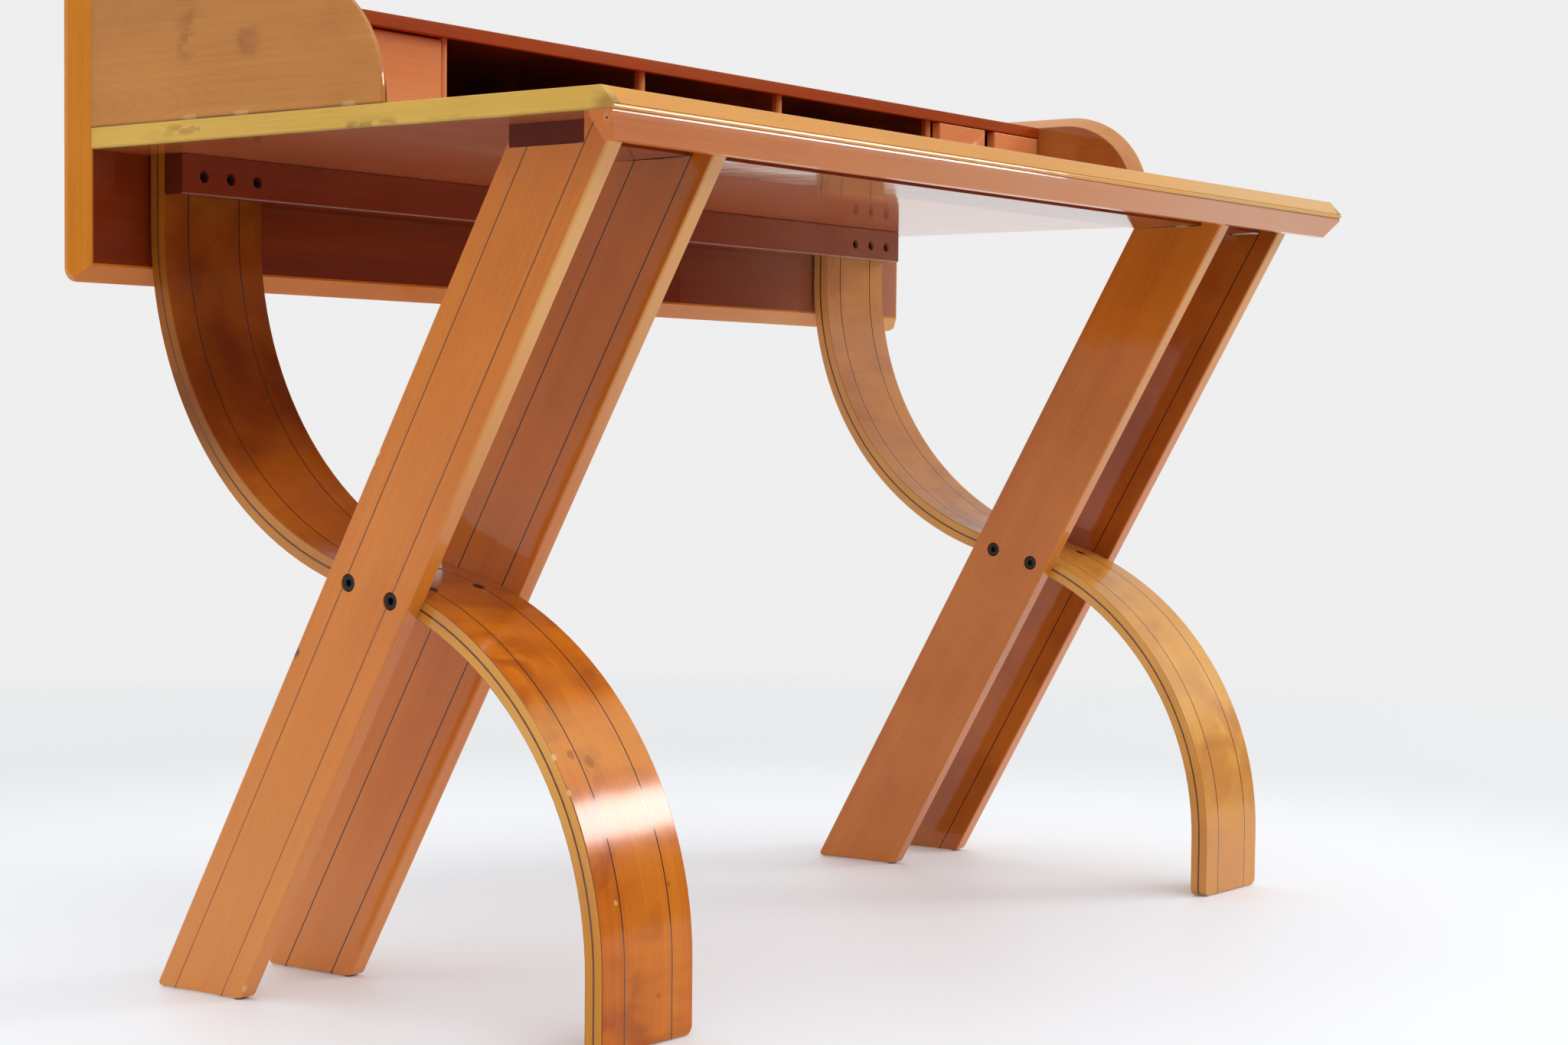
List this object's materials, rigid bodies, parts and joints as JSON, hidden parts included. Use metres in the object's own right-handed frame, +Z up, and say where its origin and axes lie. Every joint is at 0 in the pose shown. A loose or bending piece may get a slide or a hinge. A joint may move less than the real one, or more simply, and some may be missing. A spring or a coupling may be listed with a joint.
{
  "type": "writing desk",
  "caption": "Writing desk with a bevelled slab top, a low gallery of pigeonholes and small drawers, a back panel, and crossed legs of straight planks and bent laminated wood.",
  "frame": {"origin": "on the floor, under the middle of the desk's overall box", "axes": "+X along the desk to the sitter's right, +Y from the sitter to the back, +Z up"},
  "size_m": [1.288, 0.588, 0.876],
  "materials": {
    "honey_wood": "gloss lacquer",
    "yellow_wood": "gloss lacquer",
    "brown_wood": "gloss lacquer",
    "red_wood": "gloss lacquer",
    "drawer_wood": "satin",
    "dark_inlay": "gloss lacquer",
    "black_steel": "black oxide",
    "zinc_steel": "zinc plated",
    "pale_pad": "matte"
  },
  "bodies": {
    "desk": {"back_panel": "brown_wood", "back_panel_lip_bottom": "honey_wood", "back_panel_lip_left": "honey_wood", "back_panel_lip_right": "honey_wood", "back_panel_lip_top": "honey_wood", "barrel_nuts": "black_steel", "bent_leg_left_core": "dark_inlay", "bent_leg_left_front_ply": "honey_wood", "bent_leg_left_rear_ply": "honey_wood", "bent_leg_right_core": "dark_inlay", "bent_leg_right_front_ply": "honey_wood", "bent_leg_right_rear_ply": "honey_wood", "crossing_bolts": "black_steel", "drawer_partition_left": "brown_wood", "drawer_partition_right": "brown_wood", "foot_glides": "pale_pad", "front_bead": "honey_wood", "front_lip": "honey_wood", "front_nosing": "honey_wood", "front_rail": "brown_wood", "front_rail_screws": "zinc_steel", "gallery_divider_1": "brown_wood", "gallery_divider_2": "brown_wood", "gallery_divider_3": "brown_wood", "gallery_divider_4": "brown_wood", "gallery_side_left": "honey_wood", "gallery_side_right": "honey_wood", "gallery_top": "brown_wood", "leg_inlays_left": "dark_inlay", "leg_inlays_right": "dark_inlay", "plank_inner_left": "honey_wood", "plank_inner_right": "honey_wood", "plank_outer_left": "honey_wood", "plank_outer_right": "honey_wood", "rear_rail": "brown_wood", "rear_rail_bolts": "black_steel", "top_end_lip_left": "yellow_wood", "top_end_lip_right": "yellow_wood", "top_slab": "honey_wood"},
    "drawer_1": {"drawer_1_back": "drawer_wood", "drawer_1_bottom": "drawer_wood", "drawer_1_front": "red_wood", "drawer_1_side_left": "drawer_wood", "drawer_1_side_right": "drawer_wood"},
    "drawer_2": {"drawer_2_back": "drawer_wood", "drawer_2_bottom": "drawer_wood", "drawer_2_front": "red_wood", "drawer_2_side_left": "drawer_wood", "drawer_2_side_right": "drawer_wood"},
    "drawer_3": {"drawer_3_back": "drawer_wood", "drawer_3_bottom": "drawer_wood", "drawer_3_front": "red_wood", "drawer_3_side_left": "drawer_wood", "drawer_3_side_right": "drawer_wood"},
    "drawer_4": {"drawer_4_back": "drawer_wood", "drawer_4_bottom": "drawer_wood", "drawer_4_front": "red_wood", "drawer_4_side_left": "drawer_wood", "drawer_4_side_right": "drawer_wood"}
  },
  "joints": [
    {"name": "drawer_1_slide", "type": "slide", "parent": "desk", "child": "drawer_1", "axis": [0, -1, 0], "range_m": [0, 0.14]},
    {"name": "drawer_2_slide", "type": "slide", "parent": "desk", "child": "drawer_2", "axis": [0, -1, 0], "range_m": [0, 0.14]},
    {"name": "drawer_3_slide", "type": "slide", "parent": "desk", "child": "drawer_3", "axis": [0, -1, 0], "range_m": [-0.0095, 0.13]},
    {"name": "drawer_4_slide", "type": "slide", "parent": "desk", "child": "drawer_4", "axis": [0, -1, 0], "range_m": [-0.0095, 0.13]}
  ]
}
